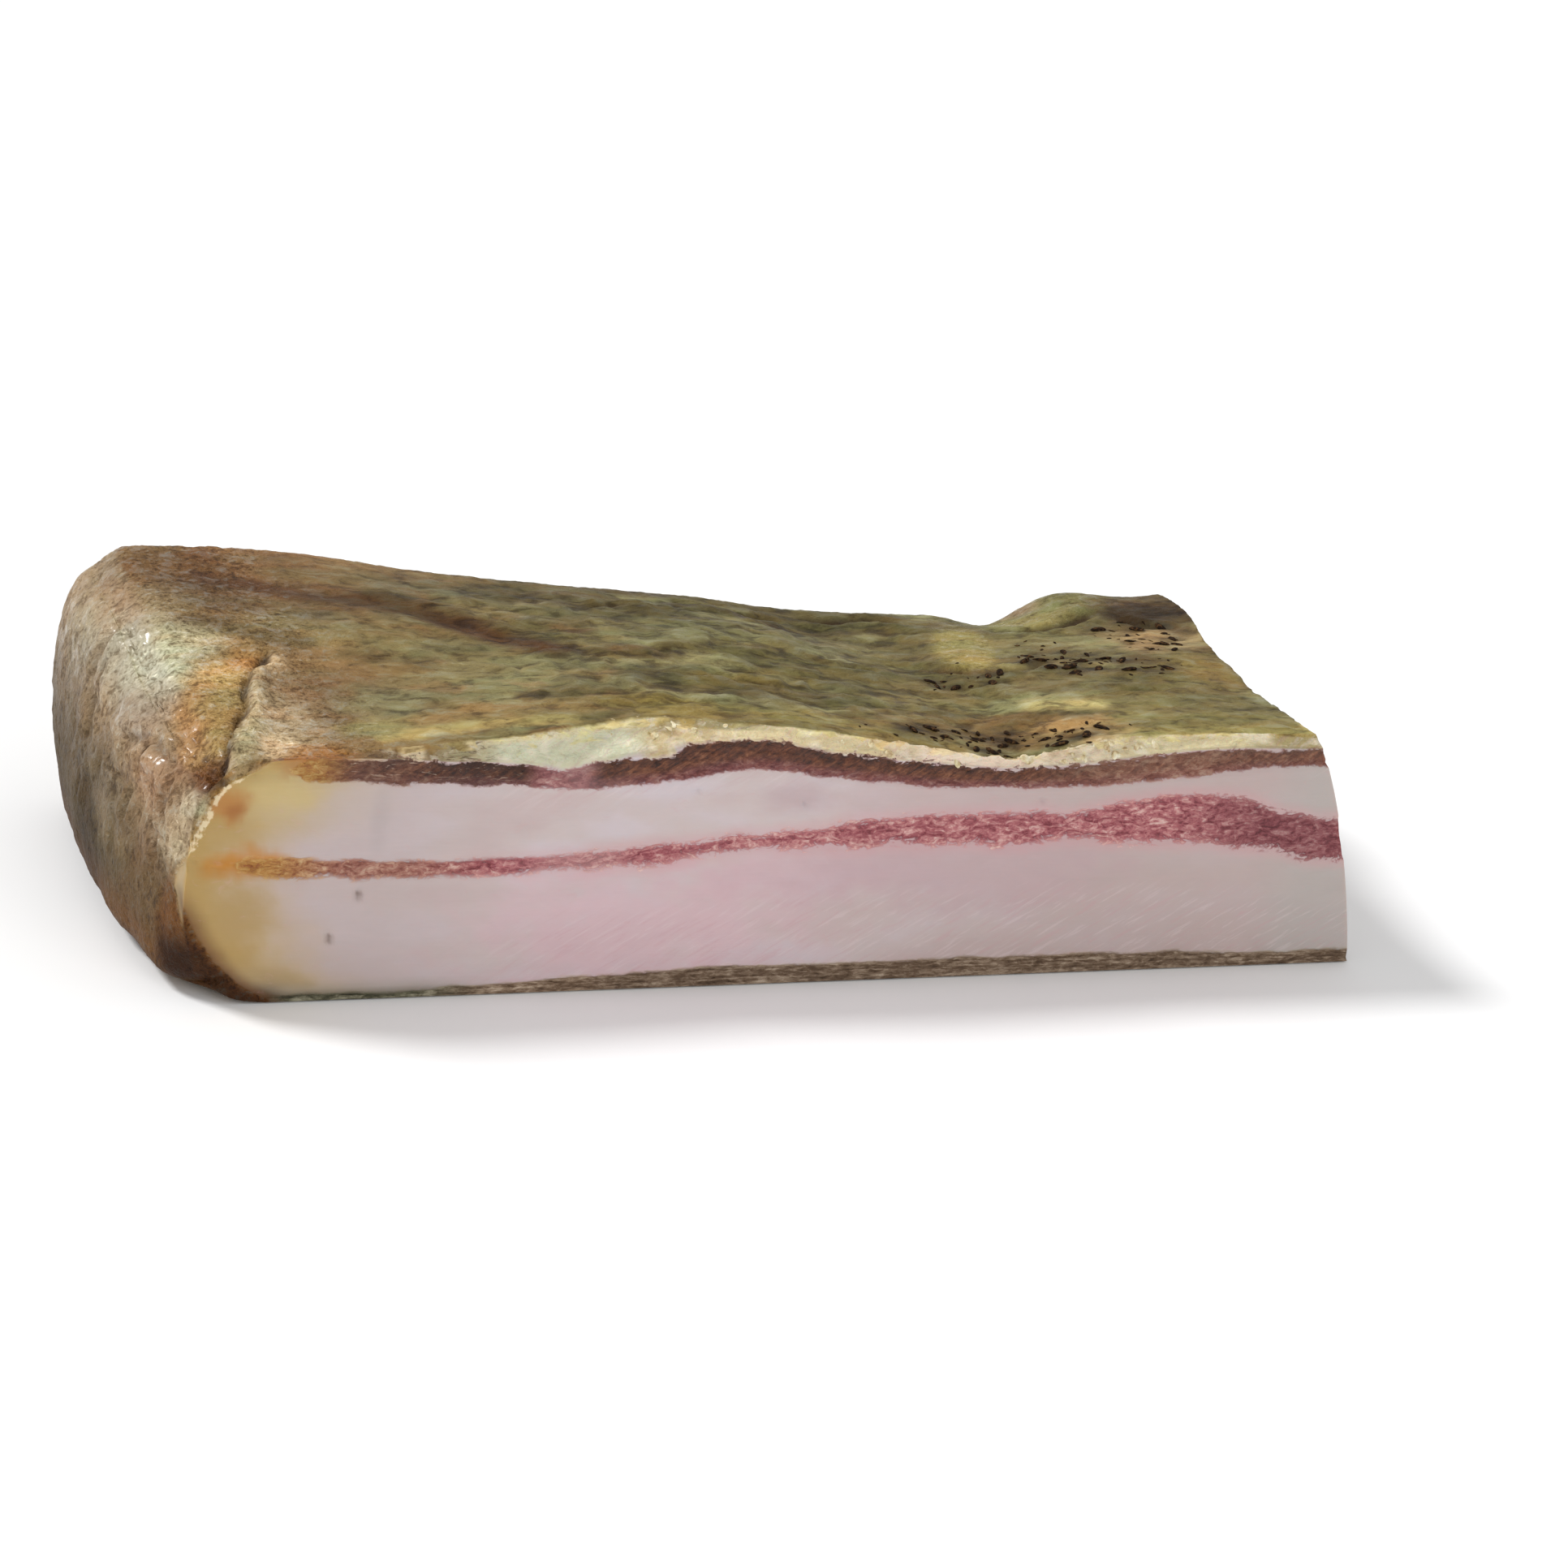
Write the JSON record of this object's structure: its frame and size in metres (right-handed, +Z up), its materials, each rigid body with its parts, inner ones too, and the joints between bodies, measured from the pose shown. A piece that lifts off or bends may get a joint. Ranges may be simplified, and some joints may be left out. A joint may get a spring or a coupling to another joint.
{
  "type": "pancetta slab",
  "caption": "Flat piece of cured pork belly: natural crust on top, back and one end, two knife-cut faces with pale fat, a pink lean streak and a dark lean band, on its rind.",
  "frame": {"origin": "Centre of the bounding box on the flat rind side that the slab lies on.", "axes": "X runs along the slab from its natural end to its end cut, Y from the long cut face to the natural back, Z up from the rind."},
  "size_m": [0.265, 0.1038, 0.0591],
  "materials": {
    "cured_pork": "moist fat and dry crust"
  },
  "bodies": {
    "root": {"slab": "cured_pork"}
  },
  "joints": []
}
